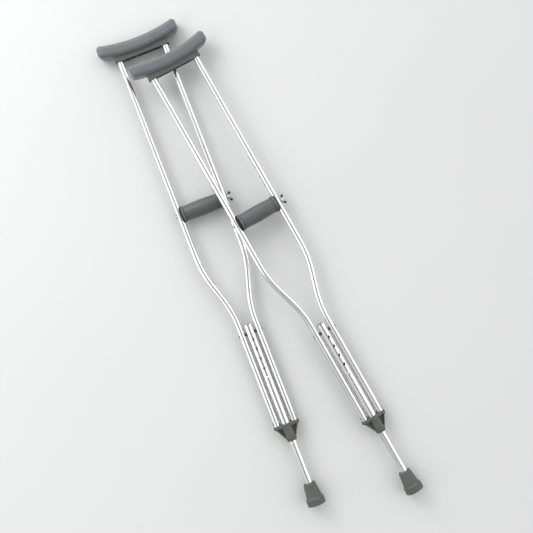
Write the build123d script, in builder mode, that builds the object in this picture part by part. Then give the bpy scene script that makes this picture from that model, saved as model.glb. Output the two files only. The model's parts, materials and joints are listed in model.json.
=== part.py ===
from build123d import *
import os
from math import asin, degrees, radians, sqrt, tan

# A pair of identical underarm crutches laid down crossed: the left one lies flat on the floor and the
# right one lies across it. Each piece is drawn once, in the crutch's own frame: Y runs up the crutch
# from the middle of its sole, X across it, and Z out of its plane. Sizes are in millimetres.

# Tubes
hole_pitch = 25.4
tube_wall = 1.2
leg_radius = 19.05 / 2
centre_tube_radius = 22.2 / 2
bow_radius = 15.9 / 2
fit_gap = 0.05
sliding_gap = 0.2

# Telescoping leg, from the sole up
leg_bottom = 14
leg_top = 345
button_height = 335
leg_positions_up = 4
leg_positions_down = 2

# Rubber tip
tip_radius = 23.3
tip_shoulder_radius = 22.7
tip_shoulder_height = 16.5
tip_neck_radius = 19.8
tip_neck_height = 20
tip_mouth_radius = 14.8
tip_top = 56
washer_thickness = 2

# Snap button
button_radius = 3.7
button_hole_radius = 3.8
button_flange_radius = 4.6
button_flange_bottom = 5.1
button_flange_top = 6.5
button_dome_start = 11.4
button_reach = 13.4

# Frame of three tubes
bow_foot_x = 22.4
bow_top_x = 58.8
bow_bend_start = 477
bow_bend_angle = 16.7
bow_bend_radius = 248
bow_top = 1213
centre_tube_top = 473.6
cross_rivet_height = 452.5
rivet_radius = 2.4
rivet_head_radius = 4.4
rivet_head_thickness = 1.4

# Bracket that holds the feet of the three tubes
bracket_bottom = 168
bracket_top = 213.5
flange_bottom = 205.5
bow_foot = 207.5
centre_tube_seat = 184
collar_radius = 14
collar_mouth_radius = 11.8
collar_taper_top = 179
flange_wall = 2.4
foot_rivet_height = 221.5
peg_top = 232
inner_head_thickness = 1.2

# Handgrip
grip_height = 784.5
grip_positions_up = 5
grip_positions_down = 1
grip_hole_radius = 3.2
bolt_radius = 3
sleeve_middle_radius = 20.5
sleeve_end_radius = 18.75
sleeve_half_length = 46
grip_core_radius = 12
collar_inner_x = 47
collar_outer_radius = 21
collar_straight_end = 51
collar_tip_x = 57
grip_washer_thickness = 1.2

# Underarm saddle and cushion: both follow arcs about one centre far above the crutch
cushion_top_arc = 390
cushion_bottom_arc = 422
cushion_dip_height = 1232
cushion_half_length = 103.5
cushion_half_width = 21
saddle_top_arc = 399
saddle_bottom_arc = 413
saddle_half_length = 94
saddle_half_width = 11
skirt_bottom = 1190.3
skirt_half_length = 70
saddle_pin_height = 1200

# How the two crutches lie: the right one is placed from the left one's sole
right_sole_x = 237
right_sole_y = -56.6
right_turn = 8.48
right_pitch = 1.35
right_roll = 10.5

leg_holes = [
    button_height + step * hole_pitch for step in range(-leg_positions_down, leg_positions_up + 1)
]
grip_holes = [
    grip_height + step * hole_pitch for step in range(-grip_positions_down, grip_positions_up + 1)
]
arc_centre_height = cushion_dip_height + cushion_top_arc
washer_x = bow_top_x + bow_radius + sliding_gap


def across(height):
    """The plane square to the crutch's length at a height, facing up the crutch."""
    return Plane(origin=(0, height, 0), x_dir=(1, 0, 0), z_dir=(0, 1, 0))


def line_across(height):
    """The axis that runs across the crutch, in its plane, at a height."""
    return Axis((0, height, 0), (1, 0, 0))


def arc_height(radius, x):
    """Height at x of an arc about the saddle's and the cushion's common centre."""
    return arc_centre_height - sqrt(radius**2 - x**2)


def make_tube(bottom, top, radius):
    """A straight tube on the crutch's centre line."""
    with BuildPart() as tube:
        with BuildSketch(across(bottom)):
            Circle(radius)
            Circle(radius - tube_wall, mode=Mode.SUBTRACT)
        extrude(amount=top - bottom)
    return tube.part


def make_leg():
    with BuildPart() as leg:
        add(make_tube(leg_bottom, leg_top, leg_radius))
        with BuildSketch(Plane.XY):
            with Locations((0, button_height)):
                Circle(button_hole_radius)
        extrude(amount=leg_radius, both=True, mode=Mode.SUBTRACT)
    return leg.part


def make_centre_tube():
    with BuildPart() as tube:
        add(make_tube(centre_tube_seat, centre_tube_top, centre_tube_radius))
        with BuildSketch(Plane.XY):
            with Locations([(0, height) for height in leg_holes]):
                Circle(button_hole_radius)
        extrude(amount=centre_tube_radius, both=True, mode=Mode.SUBTRACT)
        with BuildSketch(Plane.YZ):
            with Locations((cross_rivet_height, 0)):
                Circle(rivet_radius + fit_gap)
        extrude(amount=centre_tube_radius, both=True, mode=Mode.SUBTRACT)
    return tube.part


def make_bow():
    """The bow on the wing nut's side: straight foot, S-bend outwards, straight top."""
    bend_setback = bow_bend_radius * tan(radians(bow_bend_angle / 2))
    low_corner = bow_bend_start + bend_setback
    high_corner = low_corner + (bow_top_x - bow_foot_x) / tan(radians(bow_bend_angle))
    with BuildPart() as bow:
        with BuildLine():
            FilletPolyline(
                (bow_foot_x, bow_foot),
                (bow_foot_x, low_corner),
                (bow_top_x, high_corner),
                (bow_top_x, bow_top),
                radius=bow_bend_radius,
            )
        with BuildSketch(across(bow_foot)):
            with Locations((bow_foot_x, 0)):
                Circle(bow_radius)
                Circle(bow_radius - tube_wall, mode=Mode.SUBTRACT)
        sweep()
        with BuildSketch(Plane.YZ.offset(bow_foot_x)):
            with Locations((foot_rivet_height, 0), (cross_rivet_height, 0)):
                Circle(rivet_radius + fit_gap)
        extrude(amount=bow_radius, both=True, mode=Mode.SUBTRACT)
        with BuildSketch(Plane.YZ.offset(bow_top_x)):
            with Locations([(height, 0) for height in grip_holes]):
                Circle(grip_hole_radius)
            with Locations((saddle_pin_height, 0)):
                Circle(rivet_radius + fit_gap)
        extrude(amount=bow_radius, both=True, mode=Mode.SUBTRACT)
    return bow.part


def make_tube_bracket():
    """Moulded bracket: a flange over the three tube feet, a collar that guides the leg, and gussets."""
    flange_radius = bow_radius + flange_wall
    gusset_low = (collar_radius - 1, collar_taper_top - 2)
    gusset_knee = (26.7, 202)
    gusset_high = (bow_foot_x + flange_radius - 1.5, flange_bottom + 1)
    gusset_foot = (0, collar_taper_top + 1)
    gusset_depth = 7.5
    mouth_radius = 2
    taper_radius = 4
    rim_radius = 1.2
    flange_edge_radius = 1.5
    web_depth = 1.5
    rib_width = 2.4
    leg_guide_radius = leg_radius + fit_gap
    with BuildPart() as bracket:
        with BuildSketch(across(flange_bottom)):
            Circle(collar_radius)
            with Locations((-bow_foot_x, 0), (bow_foot_x, 0)):
                Circle(flange_radius)
            make_hull()
        extrude(amount=bracket_top - flange_bottom)
        fillet(bracket.faces().sort_by(Axis.Y)[-1].edges(), flange_edge_radius)
        with BuildSketch(Plane.XY):
            Polygon(
                gusset_low, gusset_knee, gusset_high, (0, flange_bottom + 1), gusset_foot, align=None
            )
        extrude(amount=web_depth, both=True)
        with BuildSketch(Plane.XY):
            Polygon(
                gusset_low,
                gusset_knee,
                gusset_high,
                (gusset_high[0] - rib_width, gusset_high[1]),
                (gusset_knee[0] - rib_width, gusset_knee[1] + rib_width / 2),
                (gusset_low[0] - rib_width / 2, gusset_low[1] + rib_width),
                align=None,
            )
        extrude(amount=gusset_depth, both=True)
        mirror(about=Plane.YZ)
        with BuildSketch(Plane.XY):
            with BuildLine():
                FilletPolyline(
                    (0, bracket_bottom),
                    (collar_mouth_radius, bracket_bottom),
                    (collar_radius, collar_taper_top),
                    (collar_radius, bracket_top),
                    (0, bracket_top),
                    radius=[mouth_radius, taper_radius, rim_radius],
                )
                Line((0, bracket_top), (0, bracket_bottom))
            make_face()
        revolve(axis=Axis.Y)
        with BuildSketch(across(bracket_bottom)):
            Circle(leg_guide_radius)
        extrude(amount=bracket_top - bracket_bottom, mode=Mode.SUBTRACT)
        with BuildSketch(across(centre_tube_seat)):
            Circle(centre_tube_radius + fit_gap)
        extrude(amount=bracket_top - centre_tube_seat, mode=Mode.SUBTRACT)
        with BuildSketch(across(bow_foot)):
            with Locations((-bow_foot_x, 0), (bow_foot_x, 0)):
                Circle(bow_radius + fit_gap)
        extrude(amount=bracket_top - bow_foot, mode=Mode.SUBTRACT)
        with BuildSketch(across(bow_foot)):
            with Locations((-bow_foot_x, 0), (bow_foot_x, 0)):
                Circle(bow_radius - tube_wall - fit_gap)
        extrude(amount=peg_top - bow_foot)
        chamfer(bracket.faces().sort_by(Axis.Y)[-2:].edges(), 1)
        with BuildSketch(Plane.YZ):
            with Locations((foot_rivet_height, 0)):
                Circle(rivet_radius + fit_gap)
        extrude(amount=bow_foot_x + flange_radius, both=True, mode=Mode.SUBTRACT)
    return bracket.part


def rivet_outline(height, start, end):
    """Half outline of a rivet along X with a domed head past its end and none past its start."""
    with BuildLine() as outline:
        Polyline(
            (start, height),
            (start, height + rivet_radius),
            (end, height + rivet_radius),
            (end, height + rivet_head_radius),
        )
        TangentArc(
            (end + rivet_head_thickness, height), (end, height + rivet_head_radius), tangent=(0, 1)
        )
        Line((end + rivet_head_thickness, height), (start, height))
    return outline.line


def make_cross_rivet():
    """One long rivet through both bows and the centre tube, headed at both ends."""
    with BuildPart() as rivet:
        with BuildSketch(Plane.XY):
            add(rivet_outline(cross_rivet_height, 0, bow_foot_x + bow_radius))
            make_face()
        revolve(axis=line_across(cross_rivet_height))
        mirror(about=Plane.YZ)
    return rivet.part


def make_foot_rivets():
    """Two short rivets, each through a bow's foot and the bracket's peg inside it."""
    inner_face = bow_foot_x - bow_radius
    with BuildPart() as rivets:
        with BuildSketch(Plane.XY):
            add(rivet_outline(foot_rivet_height, inner_face, bow_foot_x + bow_radius))
            make_face()
        revolve(axis=line_across(foot_rivet_height))
        with BuildSketch(Plane.YZ.offset(inner_face - inner_head_thickness)):
            with Locations((foot_rivet_height, 0)):
                Circle(rivet_head_radius)
        extrude(amount=inner_head_thickness)
        mirror(about=Plane.YZ)
    return rivets.part


def make_tube_spacers():
    """Two saddle-shaped spacers that fill the gaps between the tubes round the cross rivet."""
    spacer_radius = 4.5
    with BuildPart() as spacers:
        with BuildSketch(Plane.YZ.offset(centre_tube_radius / 2)):
            with Locations((cross_rivet_height, 0)):
                Circle(spacer_radius)
                Circle(rivet_radius + fit_gap, mode=Mode.SUBTRACT)
        extrude(amount=bow_foot_x - centre_tube_radius / 2)
        with BuildSketch(across(cross_rivet_height - 2 * spacer_radius)):
            Circle(centre_tube_radius + fit_gap)
            with Locations((bow_foot_x, 0)):
                Circle(bow_radius + fit_gap)
        extrude(amount=4 * spacer_radius, mode=Mode.SUBTRACT)
        mirror(about=Plane.YZ)
    return spacers.part


def make_tip():
    """Rubber tip: broad base with a grooved sole, and a sleeve that tapers up the leg."""
    bore_radius = leg_radius + fit_gap
    bore_floor = leg_bottom - washer_thickness
    corner_radii = [1.5, 1.2, 1.5, 2]
    tread_radii = [7, 12, 17]
    tread_width = 2
    tread_depth = 1.5
    side_groove_height = 10
    side_groove_width = 1.8
    side_groove_depth = 0.45
    with BuildPart() as tip:
        with BuildSketch(Plane.XY):
            with BuildLine():
                FilletPolyline(
                    (0, 0),
                    (tip_radius, 0),
                    (tip_shoulder_radius, tip_shoulder_height),
                    (tip_neck_radius, tip_neck_height),
                    (tip_mouth_radius, tip_top),
                    (bore_radius, tip_top),
                    radius=corner_radii,
                )
                Polyline((bore_radius, tip_top), (bore_radius, bore_floor), (0, bore_floor), (0, 0))
            make_face()
        revolve(axis=Axis.Y)
        with BuildSketch(Plane.XY):
            with Locations([(radius, 0) for radius in tread_radii]):
                Rectangle(tread_width, 2 * tread_depth)
            with Locations((tip_radius, side_groove_height)):
                Rectangle(side_groove_width, 2 * side_groove_depth)
        revolve(axis=Axis.Y, mode=Mode.SUBTRACT)
    return tip.part


def make_tip_washer():
    washer_bore_radius = 3
    with BuildPart() as washer:
        with BuildSketch(across(leg_bottom - washer_thickness)):
            Circle(leg_radius - fit_gap)
            Circle(washer_bore_radius, mode=Mode.SUBTRACT)
        extrude(amount=washer_thickness)
    return washer.part


def make_front_button():
    """Snap button on the upper face: a flange inside the leg, and a domed stem out through both tubes."""
    with BuildPart() as button:
        with BuildSketch(Plane.XZ.offset(-button_height)):
            with BuildLine():
                Polyline(
                    (0, button_flange_bottom),
                    (button_flange_radius, button_flange_bottom),
                    (button_flange_radius, button_flange_top),
                    (button_radius, button_flange_top),
                    (button_radius, button_dome_start),
                )
                TangentArc((0, button_reach), (button_radius, button_dome_start), tangent=(1, 0))
                Line((0, button_reach), (0, button_flange_bottom))
            make_face()
        revolve(axis=Axis((0, button_height, 0), (0, 0, 1)))
    return button.part


def make_button_spring():
    """Bent strip spring inside the leg: an arm under each button, joined by a bend at the bottom."""
    strip_thickness = 0.6
    strip_width = 6
    arm = button_flange_bottom - fit_gap - strip_thickness / 2
    arm_top = button_height + 6
    arm_bottom = button_height - 7
    bend_height = button_height - 40
    bend_radius = 2.2
    corner_radius = 4
    with BuildPart() as spring:
        with BuildSketch(Plane.YZ):
            with BuildLine():
                FilletPolyline(
                    (arm_top, arm),
                    (arm_bottom, arm),
                    (bend_height, bend_radius),
                    radius=corner_radius,
                )
                ThreePointArc(
                    (bend_height, bend_radius),
                    (bend_height - bend_radius, 0),
                    (bend_height, -bend_radius),
                )
                FilletPolyline(
                    (bend_height, -bend_radius),
                    (arm_bottom, -arm),
                    (arm_top, -arm),
                    radius=corner_radius,
                )
            trace(line_width=strip_thickness)
        extrude(amount=strip_width / 2, both=True)
    return spring.part


def make_grip_core():
    """Stiff tube between the end collars, bored for the bolt."""
    with BuildPart() as core:
        with BuildSketch(Plane.YZ.offset(-collar_inner_x)):
            with Locations((grip_height, 0)):
                Circle(grip_core_radius)
                Circle(grip_hole_radius, mode=Mode.SUBTRACT)
        extrude(amount=2 * collar_inner_x)
    return core.part


def make_grip_sleeve():
    """Soft barrel over the core, fullest in the middle."""
    bore_edge = grip_height + grip_core_radius + fit_gap
    with BuildPart() as sleeve:
        with BuildSketch(Plane.XY):
            with BuildLine():
                ThreePointArc(
                    (-sleeve_half_length, grip_height + sleeve_end_radius),
                    (0, grip_height + sleeve_middle_radius),
                    (sleeve_half_length, grip_height + sleeve_end_radius),
                )
                Polyline(
                    (sleeve_half_length, grip_height + sleeve_end_radius),
                    (sleeve_half_length, bore_edge),
                    (-sleeve_half_length, bore_edge),
                    (-sleeve_half_length, grip_height + sleeve_end_radius),
                )
            make_face()
        revolve(axis=line_across(grip_height))
    return sleeve.part


def make_grip_collars():
    """Two end collars, each domed and hollowed to seat round its bow."""
    edge_radius = 1.5
    with BuildPart() as collars:
        with BuildSketch(Plane.XY) as outline:
            with BuildLine():
                Polyline(
                    (collar_tip_x, grip_height),
                    (collar_inner_x, grip_height),
                    (collar_inner_x, grip_height + collar_outer_radius),
                    (collar_straight_end, grip_height + collar_outer_radius),
                )
                TangentArc(
                    (collar_tip_x, grip_height),
                    (collar_straight_end, grip_height + collar_outer_radius),
                    tangent=(0, 1),
                )
            make_face()
            fillet(outline.vertices().group_by(Axis.Y)[-1], edge_radius)
        revolve(axis=line_across(grip_height))
        with BuildSketch(Plane.YZ.offset(collar_inner_x)):
            with Locations((grip_height, 0)):
                Circle(grip_hole_radius)
        extrude(amount=collar_tip_x - collar_inner_x, mode=Mode.SUBTRACT)
        with BuildSketch(across(grip_height - 2 * collar_outer_radius)):
            with Locations((bow_top_x, 0)):
                Circle(bow_radius + sliding_gap)
        extrude(amount=4 * collar_outer_radius, mode=Mode.SUBTRACT)
        mirror(about=Plane.YZ)
    return collars.part


def make_grip_bolt():
    """Long bolt through the grip and both bows, its domed head on the side away from the wing nut."""
    head_radius = 5.5
    head_thickness = 3.4
    bolt_end = 76.5
    thread_chamfer = 0.8
    with BuildPart() as bolt:
        with BuildSketch(Plane.XY):
            with BuildLine():
                Polyline(
                    (-washer_x, grip_height + head_radius),
                    (-washer_x, grip_height + bolt_radius),
                    (bolt_end - thread_chamfer, grip_height + bolt_radius),
                    (bolt_end, grip_height + bolt_radius - thread_chamfer),
                    (bolt_end, grip_height),
                    (-washer_x - head_thickness, grip_height),
                )
                TangentArc(
                    (-washer_x - head_thickness, grip_height),
                    (-washer_x, grip_height + head_radius),
                    tangent=(0, 1),
                )
            make_face()
        revolve(axis=line_across(grip_height))
    return bolt.part


def make_grip_washer():
    washer_radius = 6.2
    with BuildPart() as washer:
        with BuildSketch(Plane.YZ.offset(washer_x)):
            with Locations((grip_height, 0)):
                Circle(washer_radius)
                Circle(bolt_radius + fit_gap, mode=Mode.SUBTRACT)
        extrude(amount=grip_washer_thickness)
    return washer.part


def make_wing_nut():
    """Wing nut: a tapered hub with two flat ears that stand out up and down the crutch."""
    hub_base = washer_x + grip_washer_thickness
    hub_length = 7
    hub_base_radius = 5.4
    hub_top_radius = 4.3
    ear_half_thickness = 1.3
    ear_tip_radius = 2.9
    ear_tip_place = (7.2, 9.2)
    ear_root_radius = 2
    ear_root_place = (3.4, 4)
    with BuildPart() as nut:
        with BuildSketch(Plane.XY):
            Polygon(
                (hub_base, grip_height),
                (hub_base, grip_height + hub_base_radius),
                (hub_base + hub_length, grip_height + hub_top_radius),
                (hub_base + hub_length, grip_height),
                align=None,
            )
        revolve(axis=line_across(grip_height))
        for side in (-1, 1):
            with BuildSketch(Plane.XY):
                with Locations((hub_base + ear_tip_place[0], grip_height + side * ear_tip_place[1])):
                    Circle(ear_tip_radius)
                with Locations((hub_base + ear_root_place[0], grip_height + side * ear_root_place[1])):
                    Circle(ear_root_radius)
                make_hull()
            extrude(amount=ear_half_thickness, both=True)
        with BuildSketch(Plane.YZ.offset(hub_base)):
            with Locations((grip_height, 0)):
                Circle(bolt_radius + fit_gap)
        extrude(amount=2 * hub_length, mode=Mode.SUBTRACT)
    return nut.part


def make_arc_band(bottom_arc, top_arc, half_length, corner_radius):
    """Outline, in the crutch's plane, of a bar that follows the underarm arc."""
    low_end = arc_height(bottom_arc, half_length)
    high_end = arc_height(top_arc, half_length)
    with BuildSketch(Plane.XY) as band:
        with BuildLine():
            ThreePointArc(
                (-half_length, low_end),
                (0, arc_height(bottom_arc, 0)),
                (half_length, low_end),
            )
            Line((half_length, low_end), (half_length, high_end))
            ThreePointArc(
                (half_length, high_end),
                (0, arc_height(top_arc, 0)),
                (-half_length, high_end),
            )
            Line((-half_length, high_end), (-half_length, low_end))
        make_face()
        fillet(band.vertices(), corner_radius)
    return band.sketch


def make_saddle_body(gap):
    """The saddle without its holes, grown by a gap: a curved bar with a straight skirt under it."""
    bar_corner_radius = 4
    skirt_corner_radius = 3
    skirt_overlap = 5
    skirt_top = arc_height(saddle_bottom_arc, 0) + skirt_overlap
    with BuildPart() as body:
        with BuildSketch(Plane.XY):
            add(
                make_arc_band(
                    saddle_bottom_arc + gap,
                    saddle_top_arc - gap,
                    saddle_half_length + gap,
                    bar_corner_radius,
                )
            )
        extrude(amount=saddle_half_width + gap, both=True)
        with BuildSketch(across(skirt_bottom)):
            RectangleRounded(
                2 * (skirt_half_length + gap), 2 * (saddle_half_width + gap), skirt_corner_radius
            )
        extrude(amount=skirt_top - skirt_bottom)
    return body.part


def make_saddle():
    """Moulded saddle: sockets for both bow tops, and hollows in its underside between them."""
    hollow_count = 3
    hollow_pitch = 30
    hollow_length = 26
    hollow_width = 15
    hollow_depth = 12
    hollow_corner_radius = 2
    with BuildPart() as saddle:
        add(make_saddle_body(0))
        with BuildSketch(across(skirt_bottom)):
            with Locations((-bow_top_x, 0), (bow_top_x, 0)):
                Circle(bow_radius + fit_gap)
        extrude(amount=bow_top - skirt_bottom, mode=Mode.SUBTRACT)
        with BuildSketch(across(skirt_bottom)):
            with GridLocations(hollow_pitch, 0, hollow_count, 1):
                RectangleRounded(hollow_length, hollow_width, hollow_corner_radius)
        extrude(amount=hollow_depth, mode=Mode.SUBTRACT)
        with BuildSketch(Plane.YZ):
            with Locations((saddle_pin_height, 0)):
                Circle(rivet_radius + fit_gap)
        extrude(amount=skirt_half_length, both=True, mode=Mode.SUBTRACT)
    return saddle.part


def make_saddle_pins():
    """Two headed pins, driven in from the saddle's ends through the bow tops."""
    pin_start = bow_top_x - bow_radius - 2
    with BuildPart() as pins:
        with BuildSketch(Plane.XY):
            add(rivet_outline(saddle_pin_height, pin_start, skirt_half_length))
            make_face()
        revolve(axis=line_across(saddle_pin_height))
        mirror(about=Plane.YZ)
    return pins.part


def make_cushion():
    """Plain closed form of the underarm cushion, open underneath for the saddle."""
    corner_radius = 7
    edge_radius = 5
    with BuildPart() as cushion:
        with BuildSketch(Plane.XY):
            add(
                make_arc_band(
                    cushion_bottom_arc, cushion_top_arc, cushion_half_length, corner_radius
                )
            )
        extrude(amount=cushion_half_width, both=True)
        fillet(cushion.faces().filter_by(Axis.Z).edges(), edge_radius)
        add(make_saddle_body(fit_gap), mode=Mode.SUBTRACT)
    return cushion.part


def make_crutch():
    """Every piece of one crutch, by name, in the crutch's own frame."""
    rear_bow = make_bow()
    front_button = make_front_button()
    return {
        "front_bow": mirror(rear_bow, about=Plane.YZ),
        "rear_bow": rear_bow,
        "centre_tube": make_centre_tube(),
        "tube_bracket": make_tube_bracket(),
        "cross_rivet": make_cross_rivet(),
        "foot_rivets": make_foot_rivets(),
        "tube_spacers": make_tube_spacers(),
        "saddle": make_saddle(),
        "saddle_pins": make_saddle_pins(),
        "cushion": make_cushion(),
        "leg": make_leg(),
        "button_spring": make_button_spring(),
        "front_button": front_button,
        "back_button": mirror(front_button, about=Plane.XY),
        "tip": make_tip(),
        "tip_washer": make_tip_washer(),
        "grip_core": make_grip_core(),
        "grip_sleeve": make_grip_sleeve(),
        "grip_collars": make_grip_collars(),
        "grip_bolt": make_grip_bolt(),
        "grip_washer": make_grip_washer(),
        "wing_nut": make_wing_nut(),
    }


def lay_down(pieces, x, y, turn, pitch, roll):
    """The place of a crutch laid on the floor at z = 0 with its sole's middle over (x, y)."""
    place = Location((x, y, 0), (0, 0, turn)) * Location((0, 0, 0), (pitch, 0, 0)) * Location(
        (0, 0, 0), (0, roll, 0)
    )
    lowest = min(pieces[name].moved(place).bounding_box().min.Z for name in ("tip", "cushion"))
    return Location((0, 0, -lowest)) * place


crutch = make_crutch()
left_pitch = -degrees(asin((tip_radius - cushion_half_width) / arc_height(cushion_bottom_arc, 0)))
left_place = lay_down(crutch, 0, 0, 0, left_pitch, 0)
right_place = lay_down(crutch, right_sole_x, right_sole_y, right_turn, right_pitch, right_roll)
pair = Compound(
    [piece.moved(place) for place in (left_place, right_place) for piece in crutch.values()]
)
pair_box = pair.bounding_box()
to_middle = Location((-pair_box.center().X, -pair_box.center().Y, -pair_box.min.Z))
places = {"left": to_middle * left_place, "right": to_middle * right_place}

if __name__ == "__main__":
    os.makedirs("parts", exist_ok=True)
    for side, place in places.items():
        for name, piece in crutch.items():
            placed = piece.moved(place)
            placed.label = f"{side}_{name}"
            export_step(placed, f"parts/{side}_{name}.step")
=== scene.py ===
import json
import math
import bmesh
import bpy
from mathutils import Matrix, Vector


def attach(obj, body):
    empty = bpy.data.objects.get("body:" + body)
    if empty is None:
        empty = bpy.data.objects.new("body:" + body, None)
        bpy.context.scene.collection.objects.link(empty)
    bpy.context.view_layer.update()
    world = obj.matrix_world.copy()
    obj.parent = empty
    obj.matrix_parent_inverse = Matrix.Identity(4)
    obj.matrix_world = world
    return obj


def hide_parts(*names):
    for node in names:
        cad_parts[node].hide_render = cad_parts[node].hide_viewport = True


# A pair of underarm crutches lying crossed on a pale floor, seen from straight above. All lengths are in
# metres. Each crutch has its own frame: X across, Y up from the middle of its sole, Z out of its plane.

MM = 0.001
SIDES = ("left", "right")

# Camera, placed from the left crutch's sole
CAMERA_OFFSET = Vector((0.0952, 0.5904))
CAMERA_HEIGHT = 2.4
IMAGE_UP = Vector((0.3615, 0.9324, 0))
LENS_MM = 65.13
SENSOR_MM = 36

# Sky: bright walls that darken to the ceiling, and a dimmer wall below the picture. Each change lies
# between two heights of a unit direction, counted upwards or towards the top of the picture.
CEILING_EDGE = 0.82
CEILING_START = 0.97
CEILING_SHARE = 0.2
NEAR_WALL_EDGE = -0.75
NEAR_WALL_END = 0.1
NEAR_WALL_SHARE = 0.3
SKY_STRENGTH = 1.85

# Soft boxes: place to the right of and above the picture's middle, and height over the floor
KEY_PLACE = (-1.6, 1.5, 1.5)
KEY_SIZE = (1.4, 1.4)
KEY_WATTS = 30
FILL_PLACE = (-2.0, -0.9, 1.2)
FILL_SIZE = (1.0, 2.0)
FILL_WATTS = 10

# Floor
FLOOR_SIZE = 12
FLOOR_DARK = (0.535, 0.54, 0.538)
FLOOR_LIGHT = (0.55, 0.555, 0.553)
FLOOR_ROUGHNESS = 0.7

# Underarm cushion: a bar that follows two arcs about one centre
CUSHION_TOP_ARC = 390 * MM
CUSHION_BOTTOM_ARC = 422 * MM
CUSHION_DIP_HEIGHT = 1232 * MM
CUSHION_HALF_LENGTH = 103.5 * MM
CUSHION_HALF_WIDTH = 21 * MM
CUSHION_EDGE = 11 * MM
CUSHION_CROWN = 1.8 * MM
END_FLARE = 1.2 * MM
CUSHION_COUNTS = (110, 10, 16)
CUSHION_EDGE_COUNT = 6

# The saddle inside it, and the pocket that it fills
SADDLE_TOP_ARC = 399 * MM
SADDLE_BOTTOM_ARC = 413 * MM
SADDLE_HALF_LENGTH = 94 * MM
SADDLE_HALF_WIDTH = 11 * MM
SKIRT_HALF_LENGTH = 70 * MM
SKIRT_HALF_HEIGHT = 16 * MM
SKIRT_DROP = 13 * MM
POCKET_GAP = 0.4 * MM
POCKET_BAR_EDGE = 2 * MM
POCKET_BAR_COUNTS = (48, 4, 4)
POCKET_SKIRT_EDGE = 3 * MM
POCKET_SKIRT_COUNTS = (24, 4, 4)
POCKET_EDGE_COUNT = 3

# Handgrip
GRIP_HEIGHT = 784.5 * MM
SLEEVE_HALF_LENGTH = 46.2 * MM
SLEEVE_MIDDLE_RADIUS = 20.5 * MM
SLEEVE_END_RADIUS = 18.4 * MM
SLEEVE_BORE = 12.05 * MM
LIP_RADIUS = 20.9 * MM
LIP_LENGTH = 2.4 * MM
LIP_GROOVE = 0.2 * MM
LIP_COUNT = 8
BARREL_COUNT = 24
SLEEVE_TURN_COUNT = 96

# Where pieces change colour: from the collar's grey rim with its painted highlight to its dome with painted shade,
# and from the nut's hub to its ears with painted shade
COLLAR_RIM_END = 49.9 * MM
NUT_HUB_RADIUS = 6 * MM
COLOUR_EDGE = 0.1 * MM

# Noises of the finishes, each as (scale per metre, detail, roughness), and the range that they mostly keep to
STREAK_NOISE = (900, 4, 0.6)
CLOUD_NOISE = (14, 5, 0.6)
SCUFF_NOISE = (160, 6, 0.75)
MOTTLE_NOISE = (38, 6, 0.65)
SPECKLE_NOISE = (1400, 2, 0.5)
NUT_NOISE = (300, 5, 0.6)
FLOOR_NOISE = (1.5, 3, 0.5)
NOISE_LOW = 0.3
NOISE_HIGH = 0.7

# How far colour and roughness vary about their middle, as factors
METAL_CLOUDING = (0.95, 1.03)
METAL_SCUFFING = (0.85, 1.25)
MOULDED_MOTTLING = (0.88, 1.12)
MOULDED_GLOSS = (0.9, 1.12)

# Metals: colour, roughness and how far the streaks are drawn out
TUBE_METAL = {"colour": (0.74, 0.745, 0.74), "roughness": 0.2, "stretch": 60}
STEEL_METAL = {"colour": (0.55, 0.55, 0.56), "roughness": 0.3, "stretch": 3}
STREAK_STRENGTH = 0.12
STREAK_DEPTH = 0.03 * MM

# Moulded plastics and rubbers: name, colour, roughness, pebbles per metre, their depth, and sheen
MOULDED = {
    "bracket": ("bracket_plastic", (0.064, 0.068, 0.061), 0.5, 1500, 0.06 * MM, 0),
    "spacer": ("spacer_plastic", (0.02, 0.02, 0.02), 0.5, 1500, 0.04 * MM, 0),
    "saddle": ("saddle_plastic", (0.06, 0.065, 0.062), 0.5, 1300, 0.06 * MM, 0),
    "cushion": ("cushion_foam", (0.1, 0.107, 0.114), 0.5, 900, 0.12 * MM, 0.35),
    "tip": ("tip_rubber", (0.062, 0.066, 0.06), 0.6, 1100, 0.08 * MM, 0.1),
    "grip_core": ("grip_core_plastic", (0.2, 0.2, 0.2), 0.5, 1500, 0.05 * MM, 0),
    "grip_sleeve": ("grip_foam", (0.064, 0.069, 0.071), 0.5, 1000, 0.1 * MM, 0.25),
}
SPECKLE_STRENGTH = 0.15
PEBBLE_STRENGTH = 0.35
SHEEN_ROUGHNESS = 0.4

# Collar: grey rim with a painted highlight of its rounded edge, and black dome with painted shade of the gap
# beside the tube, each mottled between two colours
HIGHLIT_RIM_COLOURS = ((0.13, 0.135, 0.137), (0.17, 0.175, 0.177))
SHADED_DOME_COLOURS = ((0.006, 0.006, 0.006), (0.01, 0.01, 0.01))
COLLAR_SPECULAR = 0.25
COLLAR_ROUGHNESS = (0.55, 0.7)
COLLAR_GRAIN = 1500
COLLAR_GRAIN_STRENGTH = 0.3
COLLAR_GRAIN_DEPTH = 0.05 * MM

# Wing nut: light hub, and ears painted dark as painted shade on their faces, each clouded between two colours
HUB_COLOURS = ((0.42, 0.42, 0.42), (0.5, 0.5, 0.5))
SHADED_EAR_COLOURS = ((0.02, 0.02, 0.021), (0.045, 0.045, 0.046))
NUT_ROUGHNESS = (0.34, 0.5)
NUT_GRAIN_STRENGTH = 0.2
NUT_GRAIN_DEPTH = 0.05 * MM

# Sockets of a mix node that mixes colours
MIX_FACTOR, MIX_FIRST, MIX_SECOND, MIX_RESULT = 0, 6, 7, 2

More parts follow.
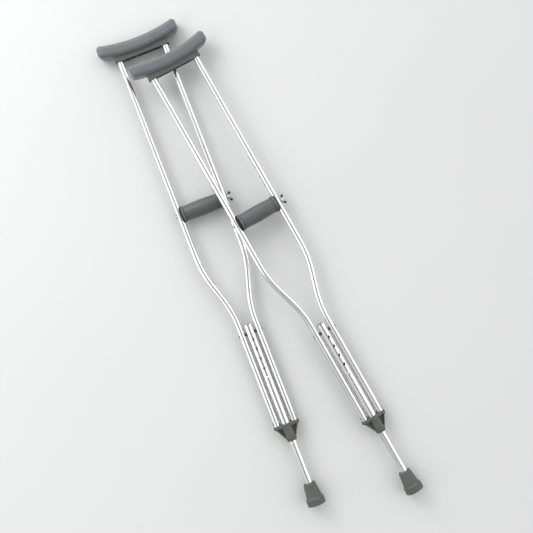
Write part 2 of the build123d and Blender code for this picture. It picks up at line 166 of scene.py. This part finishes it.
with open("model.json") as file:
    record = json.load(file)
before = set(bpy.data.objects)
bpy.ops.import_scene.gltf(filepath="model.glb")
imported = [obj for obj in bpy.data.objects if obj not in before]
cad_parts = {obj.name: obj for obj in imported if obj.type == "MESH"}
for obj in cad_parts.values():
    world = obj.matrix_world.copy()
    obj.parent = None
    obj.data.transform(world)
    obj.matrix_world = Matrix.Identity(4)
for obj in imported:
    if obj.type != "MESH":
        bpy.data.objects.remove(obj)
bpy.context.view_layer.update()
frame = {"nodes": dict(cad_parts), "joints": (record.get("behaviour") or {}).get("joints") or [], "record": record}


def crutch_frame(side):
    """Matrix from a crutch's own frame to the row frame."""
    sole = next(m for m in frame["record"]["mounts"] if m["name"] == f"{side}_tip_sole")
    joint = next(j for j in frame["joints"] if j["name"] == f"{side}_nut_travel")
    x_axis = Vector(joint["axis"])
    y_axis = -Vector(sole["axis"])
    z_axis = x_axis.cross(y_axis)
    matrix = Matrix((x_axis, y_axis, z_axis)).transposed().to_4x4()
    matrix.translation = Vector(sole["pos_m"])
    return matrix


FRAMES = {side: crutch_frame(side) for side in SIDES}


# Materials ------------------------------------------------------------------------------------------


class Nodes:
    """Short calls for building one material's node tree."""

    def __init__(self, name):
        self.material = bpy.data.materials.new(name)
        self.material.use_nodes = True
        self.tree = self.material.node_tree
        self.shader = self.tree.nodes["Principled BSDF"]
        self.coordinates = self.tree.nodes.new("ShaderNodeTexCoord").outputs["Object"]

    def add(self, kind, **values):
        node = self.tree.nodes.new(kind)
        for key, value in values.items():
            setattr(node, key, value)
        return node

    def link(self, output, target):
        self.tree.links.new(output, target)

    def noise(self, scale, detail, roughness, vector=None):
        node = self.add("ShaderNodeTexNoise")
        node.inputs["Scale"].default_value = scale
        node.inputs["Detail"].default_value = detail
        node.inputs["Roughness"].default_value = roughness
        self.link(vector or self.coordinates, node.inputs["Vector"])
        return node.outputs["Fac"]

    def voronoi(self, scale):
        node = self.add("ShaderNodeTexVoronoi")
        node.inputs["Scale"].default_value = scale
        self.link(self.coordinates, node.inputs["Vector"])
        return node.outputs["Distance"]

    def along(self, side, stretch):
        """Coordinates turned into a crutch's frame, and drawn out along its length."""
        node = self.add("ShaderNodeMapping", vector_type="TEXTURE")
        node.inputs["Location"].default_value = FRAMES[side].translation
        node.inputs["Rotation"].default_value = FRAMES[side].to_euler()
        node.inputs["Scale"].default_value = (1, stretch, 1)
        self.link(self.coordinates, node.inputs["Vector"])
        return node.outputs["Vector"]

    def ramp(self, factor, low, high):
        """Colours from low to high as the factor goes over its usual range."""
        node = self.add("ShaderNodeValToRGB")
        first, second = node.color_ramp.elements
        first.position = NOISE_LOW
        first.color = (*low, 1)
        second.position = NOISE_HIGH
        second.color = (*high, 1)
        self.link(factor, node.inputs["Fac"])
        return node.outputs["Color"]

    def spread(self, factor, low, high):
        """A number from low to high as the factor goes over its usual range."""
        node = self.add("ShaderNodeMapRange")
        node.inputs["From Min"].default_value = NOISE_LOW
        node.inputs["From Max"].default_value = NOISE_HIGH
        node.inputs["To Min"].default_value = low
        node.inputs["To Max"].default_value = high
        self.link(factor, node.inputs["Value"])
        return node.outputs["Result"]

    def bump(self, height, strength, distance, under=None):
        node = self.add("ShaderNodeBump")
        node.inputs["Strength"].default_value = strength
        node.inputs["Distance"].default_value = distance
        self.link(height, node.inputs["Height"])
        if under is not None:
            self.link(under, node.inputs["Normal"])
        return node.outputs["Normal"]

    def finish(self, colour, roughness, normal):
        self.link(colour, self.shader.inputs["Base Color"])
        self.link(roughness, self.shader.inputs["Roughness"])
        self.link(normal, self.shader.inputs["Normal"])
        return self.material

    def beyond(self, distance, limit, inner, outer):
        """The inner colour where the distance is under the limit, and the outer colour past it."""
        edge = self.add("ShaderNodeMapRange")
        edge.inputs["From Min"].default_value = limit - COLOUR_EDGE
        edge.inputs["From Max"].default_value = limit + COLOUR_EDGE
        self.link(distance, edge.inputs["Value"])
        mix = self.add("ShaderNodeMix", data_type="RGBA")
        self.link(edge.outputs["Result"], mix.inputs[MIX_FACTOR])
        self.link(inner, mix.inputs[MIX_FIRST])
        self.link(outer, mix.inputs[MIX_SECOND])
        return mix.outputs[MIX_RESULT]

    def distance(self, side, centre, directions):
        """How far a place is from the centre, in the crutch's frame, counted along the given directions."""
        offset = self.add("ShaderNodeVectorMath", operation="SUBTRACT")
        offset.inputs[1].default_value = centre
        self.link(self.along(side, 1), offset.inputs[0])
        kept = self.add("ShaderNodeVectorMath", operation="MULTIPLY")
        kept.inputs[1].default_value = directions
        self.link(offset.outputs["Vector"], kept.inputs[0])
        length = self.add("ShaderNodeVectorMath", operation="LENGTH")
        self.link(kept.outputs["Vector"], length.inputs[0])
        return length.outputs["Value"]


def shade(colour, factor):
    """The colour made lighter or darker by a factor."""
    return tuple(min(1.0, channel * factor) for channel in colour)


def metal(name, side, colour, roughness, stretch):
    """Drawn or plated metal: long fine streaks, faint clouding and patches of uneven gloss."""
    nodes = Nodes(f"{name}_{side}")
    streak = nodes.noise(*STREAK_NOISE, nodes.along(side, stretch))
    cloud = nodes.noise(*CLOUD_NOISE)
    scuff = nodes.noise(*SCUFF_NOISE)
    nodes.shader.inputs["Metallic"].default_value = 1
    colours = nodes.ramp(cloud, *(shade(colour, factor) for factor in METAL_CLOUDING))
    rough = nodes.spread(scuff, *(roughness * factor for factor in METAL_SCUFFING))
    return nodes.finish(colours, rough, nodes.bump(streak, STREAK_STRENGTH, STREAK_DEPTH))


def moulded(side, name, colour, roughness, grain, depth, sheen):
    """Moulded plastic or rubber: a fine pebbled grain, uneven gloss and slightly mottled colour."""
    nodes = Nodes(f"{name}_{side}")
    mottle = nodes.noise(*MOTTLE_NOISE)
    speckle = nodes.noise(*SPECKLE_NOISE)
    pebble = nodes.voronoi(grain)
    nodes.shader.inputs["Sheen Weight"].default_value = sheen
    nodes.shader.inputs["Sheen Roughness"].default_value = SHEEN_ROUGHNESS
    colours = nodes.ramp(mottle, *(shade(colour, factor) for factor in MOULDED_MOTTLING))
    rough = nodes.spread(mottle, *(roughness * factor for factor in MOULDED_GLOSS))
    fine = nodes.bump(speckle, SPECKLE_STRENGTH, depth)
    return nodes.finish(colours, rough, nodes.bump(pebble, PEBBLE_STRENGTH, depth, fine))


def collar_plastic(side):
    """Grey on the rim beside the grip, a painted highlight of its rounded edge, and black over the dome that faces
    the tube, painted shade of the dark gap beside the tube.
    """
    nodes = Nodes(f"collar_plastic_{side}")
    mottle = nodes.noise(*MOTTLE_NOISE)
    rim = nodes.ramp(mottle, *HIGHLIT_RIM_COLOURS)
    dome = nodes.ramp(mottle, *SHADED_DOME_COLOURS)
    across = nodes.distance(side, (0, GRIP_HEIGHT, 0), (1, 0, 0))
    nodes.shader.inputs["Specular IOR Level"].default_value = COLLAR_SPECULAR
    rough = nodes.spread(mottle, *COLLAR_ROUGHNESS)
    normal = nodes.bump(nodes.voronoi(COLLAR_GRAIN), COLLAR_GRAIN_STRENGTH, COLLAR_GRAIN_DEPTH)
    return nodes.finish(nodes.beyond(across, COLLAR_RIM_END, rim, dome), rough, normal)


def wing_nut_metal(side):
    """A bright worn hub, and ears painted dark as painted shade on their faces."""
    nodes = Nodes(f"wing_nut_metal_{side}")
    cloud = nodes.noise(*NUT_NOISE)
    hub = nodes.ramp(cloud, *HUB_COLOURS)
    ears = nodes.ramp(cloud, *SHADED_EAR_COLOURS)
    radius = nodes.distance(side, (0, GRIP_HEIGHT, 0), (0, 1, 1))
    nodes.shader.inputs["Metallic"].default_value = 1
    rough = nodes.spread(cloud, *NUT_ROUGHNESS)
    normal = nodes.bump(cloud, NUT_GRAIN_STRENGTH, NUT_GRAIN_DEPTH)
    return nodes.finish(nodes.beyond(radius, NUT_HUB_RADIUS, hub, ears), rough, normal)


def make_materials(side):
    """The finish of every material slot, for one crutch."""
    finishes = {slot: moulded(side, *values) for slot, values in MOULDED.items()}
    finishes["tube"] = metal("anodised_tube", side, **TUBE_METAL)
    finishes["steel"] = metal("steel", side, **STEEL_METAL)
    # The wing nut's ears are painted dark as shade on their faces, under the dark_steel slot
    finishes["dark_steel"] = wing_nut_metal(side)
    # The grip collar's grey rim is a painted highlight, and its black dome is painted shade
    finishes["grip_collar"] = collar_plastic(side)
    return finishes


FINISHES = {side: make_materials(side) for side in SIDES}


def finish_cad_nodes():
    """Give every CAD node the finish of its material slot."""
    slots = {row["node"]: row["material_slot"] for row in frame["record"]["subparts"]}
    for name, node in frame["nodes"].items():
        material = FINISHES[name.split("_")[0]][slots[name]]
        node.data.materials.clear()
        node.data.materials.append(material)


# Soft pieces ----------------------------------------------------------------------------------------


def steps(half, edge, inner_count, edge_count):
    """Places along one side of a rounded box: even between its rounded edges, and closer over them.
    Two faces share an edge's quarter round, so each takes 45 degrees of it."""
    flat = half - edge
    places = [-flat + 2 * flat * i / inner_count for i in range(inner_count + 1)]
    rounding = [edge * math.tan(math.radians(45 * i / edge_count)) for i in range(1, edge_count + 1)]
    return [-flat - r for r in reversed(rounding)] + places + [flat + r for r in rounding]


def rounded_box(halves, edge, counts, edge_count):
    """A closed box mesh with rounded edges, as a bmesh about the origin."""
    shape = bmesh.new()
    sides = [steps(half, edge, count, edge_count) for half, count in zip(halves, counts)]
    made = {}

    def vertex(i, j, k):
        if (i, j, k) not in made:
            point = Vector((sides[0][i], sides[1][j], sides[2][k]))
            inner = Vector(max(-(h - edge), min(h - edge, p)) for p, h in zip(point, halves))
            made[i, j, k] = shape.verts.new(inner + (point - inner).normalized() * edge)
        return made[i, j, k]

    last = [len(places) - 1 for places in sides]
    for across, along, facing in ((0, 1, 2), (1, 2, 0), (2, 0, 1)):
        for a in range(last[across]):
            for b in range(last[along]):
                for end, flip in ((0, True), (last[facing], False)):
                    corners = []
                    for corner_a, corner_b in ((a, b), (a + 1, b), (a + 1, b + 1), (a, b + 1)):
                        index = [end] * 3
                        index[across] = corner_a
                        index[along] = corner_b
                        corners.append(vertex(*index))
                    shape.faces.new(reversed(corners) if flip else corners)
    return shape


def as_object(shape, name, matrix):
    """A bmesh in a crutch's frame, as a smooth mesh object in the row frame."""
    mesh = bpy.data.meshes.new(name)
    shape.transform(matrix)
    bmesh.ops.recalc_face_normals(shape, faces=shape.faces)
    for face in shape.faces:
        face.smooth = True
    shape.to_mesh(mesh)
    shape.free()
    piece = bpy.data.objects.new(name, mesh)
    bpy.context.scene.collection.objects.link(piece)
    return piece


def arc_height(radius, x):
    """Height at x of an arc about the cushion's centre, in a crutch's frame."""
    return CUSHION_DIP_HEIGHT + CUSHION_TOP_ARC - math.sqrt(radius**2 - x**2)


def bend_to_arc(shape, middle_arc):
    """Bends a straight bar, its length along X and its thickness along Y, to an arc of that radius."""
    for vertex in shape.verts:
        x, y, z = vertex.co
        vertex.co = Vector((x, arc_height(middle_arc - y, x), z))


def cut_away(piece, cutter):
    """Cuts the cutter's shape out of the piece, and removes the cutter."""
    modifier = piece.modifiers.new("pocket", "BOOLEAN")
    modifier.operation = "DIFFERENCE"
    modifier.solver = "EXACT"
    modifier.object = cutter
    evaluated = piece.evaluated_get(bpy.context.evaluated_depsgraph_get())
    mesh = bpy.data.meshes.new_from_object(evaluated)
    piece.modifiers.clear()
    piece.data = mesh
    bpy.data.objects.remove(cutter)


def pocket_cutters(side):
    """The saddle's bar and its skirt, each a little larger, as two closed shapes."""
    middle_arc = (SADDLE_TOP_ARC + SADDLE_BOTTOM_ARC) / 2
    half_thickness = (SADDLE_BOTTOM_ARC - SADDLE_TOP_ARC) / 2 + POCKET_GAP
    half_width = SADDLE_HALF_WIDTH + POCKET_GAP
    bar_halves = (SADDLE_HALF_LENGTH + POCKET_GAP, half_thickness, half_width)
    bar = rounded_box(bar_halves, POCKET_BAR_EDGE, POCKET_BAR_COUNTS, POCKET_EDGE_COUNT)
    bend_to_arc(bar, middle_arc)
    skirt_halves = (SKIRT_HALF_LENGTH + POCKET_GAP, SKIRT_HALF_HEIGHT, half_width)
    skirt = rounded_box(skirt_halves, POCKET_SKIRT_EDGE, POCKET_SKIRT_COUNTS, POCKET_EDGE_COUNT)
    skirt_middle = arc_height(SADDLE_BOTTOM_ARC, 0) - SKIRT_DROP
    bmesh.ops.translate(skirt, verts=skirt.verts, vec=(0, skirt_middle, 0))
    return as_object(bar, "pocket_bar", FRAMES[side]), as_object(skirt, "pocket_skirt", FRAMES[side])


def make_cushion(side):
    """Foam rubber cushion: a thick bar with well rounded edges, crowned across its top."""
    middle_arc = (CUSHION_TOP_ARC + CUSHION_BOTTOM_ARC) / 2
    half_thickness = (CUSHION_BOTTOM_ARC - CUSHION_TOP_ARC) / 2
    halves = (CUSHION_HALF_LENGTH, half_thickness, CUSHION_HALF_WIDTH)
    shape = rounded_box(halves, CUSHION_EDGE, CUSHION_COUNTS, CUSHION_EDGE_COUNT)
    for vertex in shape.verts:
        x, y, z = vertex.co
        top_share = max(0.0, y / half_thickness)
        end_share = x / CUSHION_HALF_LENGTH
        y -= CUSHION_CROWN * top_share * (z / CUSHION_HALF_WIDTH) ** 2
        x -= END_FLARE * end_share**3 * (y / half_thickness)
        vertex.co = Vector((x, y, z))
    bend_to_arc(shape, middle_arc)
    piece = as_object(shape, f"{side}_underarm_cushion", FRAMES[side])
    for cutter in pocket_cutters(side):
        cut_away(piece, cutter)
    piece.data.materials.clear()
    piece.data.materials.append(FINISHES[side]["cushion"])
    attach(piece, f"{side}_frame")
    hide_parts(f"{side}_cushion")


def sleeve_profile():
    """Outline of the grip sleeve, as (x, radius): bore, end faces, rolled lips and full barrel."""
    lip_middle = SLEEVE_HALF_LENGTH - LIP_LENGTH / 2
    lip_rise = LIP_RADIUS - SLEEVE_END_RADIUS
    half = [(SLEEVE_HALF_LENGTH, SLEEVE_BORE), (SLEEVE_HALF_LENGTH, SLEEVE_END_RADIUS)]
    for i in range(LIP_COUNT + 1):
        angle = math.pi * i / LIP_COUNT
        x = lip_middle + LIP_LENGTH / 2 * math.cos(angle)
        half.append((x, SLEEVE_END_RADIUS + lip_rise * math.sin(angle)))
    barrel_end = SLEEVE_HALF_LENGTH - LIP_LENGTH - LIP_GROOVE
    for i in range(BARREL_COUNT + 1):
        x = barrel_end * (1 - i / BARREL_COUNT)
        fullness = 1 - (x / barrel_end) ** 2
        half.append((x, SLEEVE_END_RADIUS + (SLEEVE_MIDDLE_RADIUS - SLEEVE_END_RADIUS) * fullness))
    return half + [(-x, radius) for x, radius in reversed(half[:-1])]


def lathe(profile, height, count):
    """A closed ring of the profile about the X direction at a height, as a bmesh."""
    shape = bmesh.new()
    rings = []
    for i in range(count):
        angle = 2 * math.pi * i / count
        ring = []
        for x, radius in profile:
            place = (x, height + radius * math.cos(angle), radius * math.sin(angle))
            ring.append(shape.verts.new(place))
        rings.append(ring)
    for i in range(count):
        near = rings[i]
        far = rings[(i + 1) % count]
        for j in range(len(profile)):
            after = (j + 1) % len(profile)
            shape.faces.new((near[j], near[after], far[after], far[j]))
    return shape


def make_grip_sleeve(side):
    """Foam rubber sleeve that fills the space between the handgrip's two collars."""
    shape = lathe(sleeve_profile(), GRIP_HEIGHT, SLEEVE_TURN_COUNT)
    piece = as_object(shape, f"{side}_handgrip_sleeve", FRAMES[side])
    piece.data.materials.append(FINISHES[side]["grip_sleeve"])
    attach(piece, f"{side}_grip")
    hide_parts(f"{side}_grip_sleeve")


# Studio ---------------------------------------------------------------------------------------------


def make_camera():
    """A camera that looks straight down, turned so that IMAGE_UP is the top of the picture."""
    sole = FRAMES["left"].translation
    data = bpy.data.cameras.new("camera")
    data.lens = LENS_MM
    data.sensor_width = SENSOR_MM
    camera = bpy.data.objects.new("camera", data)
    camera.location = (sole.x + CAMERA_OFFSET.x, sole.y + CAMERA_OFFSET.y, CAMERA_HEIGHT)
    camera.rotation_euler = (0, 0, -math.atan2(IMAGE_UP.x, IMAGE_UP.y))
    bpy.context.scene.collection.objects.link(camera)
    bpy.context.scene.camera = camera
    return camera


def make_floor():
    """A plain pale floor."""
    nodes = Nodes("studio_floor")
    cloud = nodes.noise(*FLOOR_NOISE)
    colours = nodes.ramp(cloud, FLOOR_DARK, FLOOR_LIGHT)
    nodes.link(colours, nodes.shader.inputs["Base Color"])
    nodes.shader.inputs["Roughness"].default_value = FLOOR_ROUGHNESS
    bpy.ops.mesh.primitive_plane_add(size=FLOOR_SIZE)
    floor = bpy.context.object
    floor.name = "floor"
    floor.data.materials.append(nodes.material)


def soft_light(name, camera, place, size, watts):
    """A large soft box that faces the picture's middle on the floor."""
    right, up, height = place
    data = bpy.data.lights.new(name, "AREA")
    data.shape = "RECTANGLE"
    data.size, data.size_y = size
    data.energy = watts
    light = bpy.data.objects.new(name, data)
    image_right = IMAGE_UP.cross(Vector((0, 0, 1)))
    middle = Vector((camera.location.x, camera.location.y, 0))
    light.location = middle + image_right * right + IMAGE_UP * up + Vector((0, 0, height))
    light.rotation_mode = "QUATERNION"
    light.rotation_quaternion = (middle - light.location).to_track_quat("-Z", "Y")
    bpy.context.scene.collection.objects.link(light)


def make_sky():
    """Bright walls all round and a dark ceiling, dimmer on the side below the picture."""
    world = bpy.data.worlds.new("studio")
    world.use_nodes = True
    tree = world.node_tree
    coordinates = tree.nodes.new("ShaderNodeTexCoord").outputs["Generated"]

    def share(direction, low, high, share_low, share_high):
        """From one share of the light to the other, as the height along a direction goes from low to high."""
        dot = tree.nodes.new("ShaderNodeVectorMath")
        dot.operation = "DOT_PRODUCT"
        dot.inputs[1].default_value = direction
        tree.links.new(coordinates, dot.inputs[0])
        spread = tree.nodes.new("ShaderNodeMapRange")
        spread.interpolation_type = "SMOOTHSTEP"
        spread.inputs["From Min"].default_value = low
        spread.inputs["From Max"].default_value = high
        spread.inputs["To Min"].default_value = share_low
        spread.inputs["To Max"].default_value = share_high
        tree.links.new(dot.outputs["Value"], spread.inputs["Value"])
        return spread.outputs["Result"]

    walls = share((0, 0, 1), CEILING_EDGE, CEILING_START, 1, CEILING_SHARE)
    far_side = share(IMAGE_UP, NEAR_WALL_EDGE, NEAR_WALL_END, NEAR_WALL_SHARE, 1)
    product = tree.nodes.new("ShaderNodeMath")
    product.operation = "MULTIPLY"
    tree.links.new(walls, product.inputs[0])
    tree.links.new(far_side, product.inputs[1])
    background = tree.nodes["Background"]
    tree.links.new(product.outputs["Value"], background.inputs["Color"])
    background.inputs["Strength"].default_value = SKY_STRENGTH
    bpy.context.scene.world = world


def make_studio():
    """Camera, floor and light."""
    camera = make_camera()
    make_floor()
    soft_light("key", camera, KEY_PLACE, KEY_SIZE, KEY_WATTS)
    soft_light("fill", camera, FILL_PLACE, FILL_SIZE, FILL_WATTS)
    make_sky()
    bpy.context.scene.view_settings.view_transform = "Standard"


make_studio()
finish_cad_nodes()
for crutch_side in SIDES:
    make_cushion(crutch_side)
    make_grip_sleeve(crutch_side)
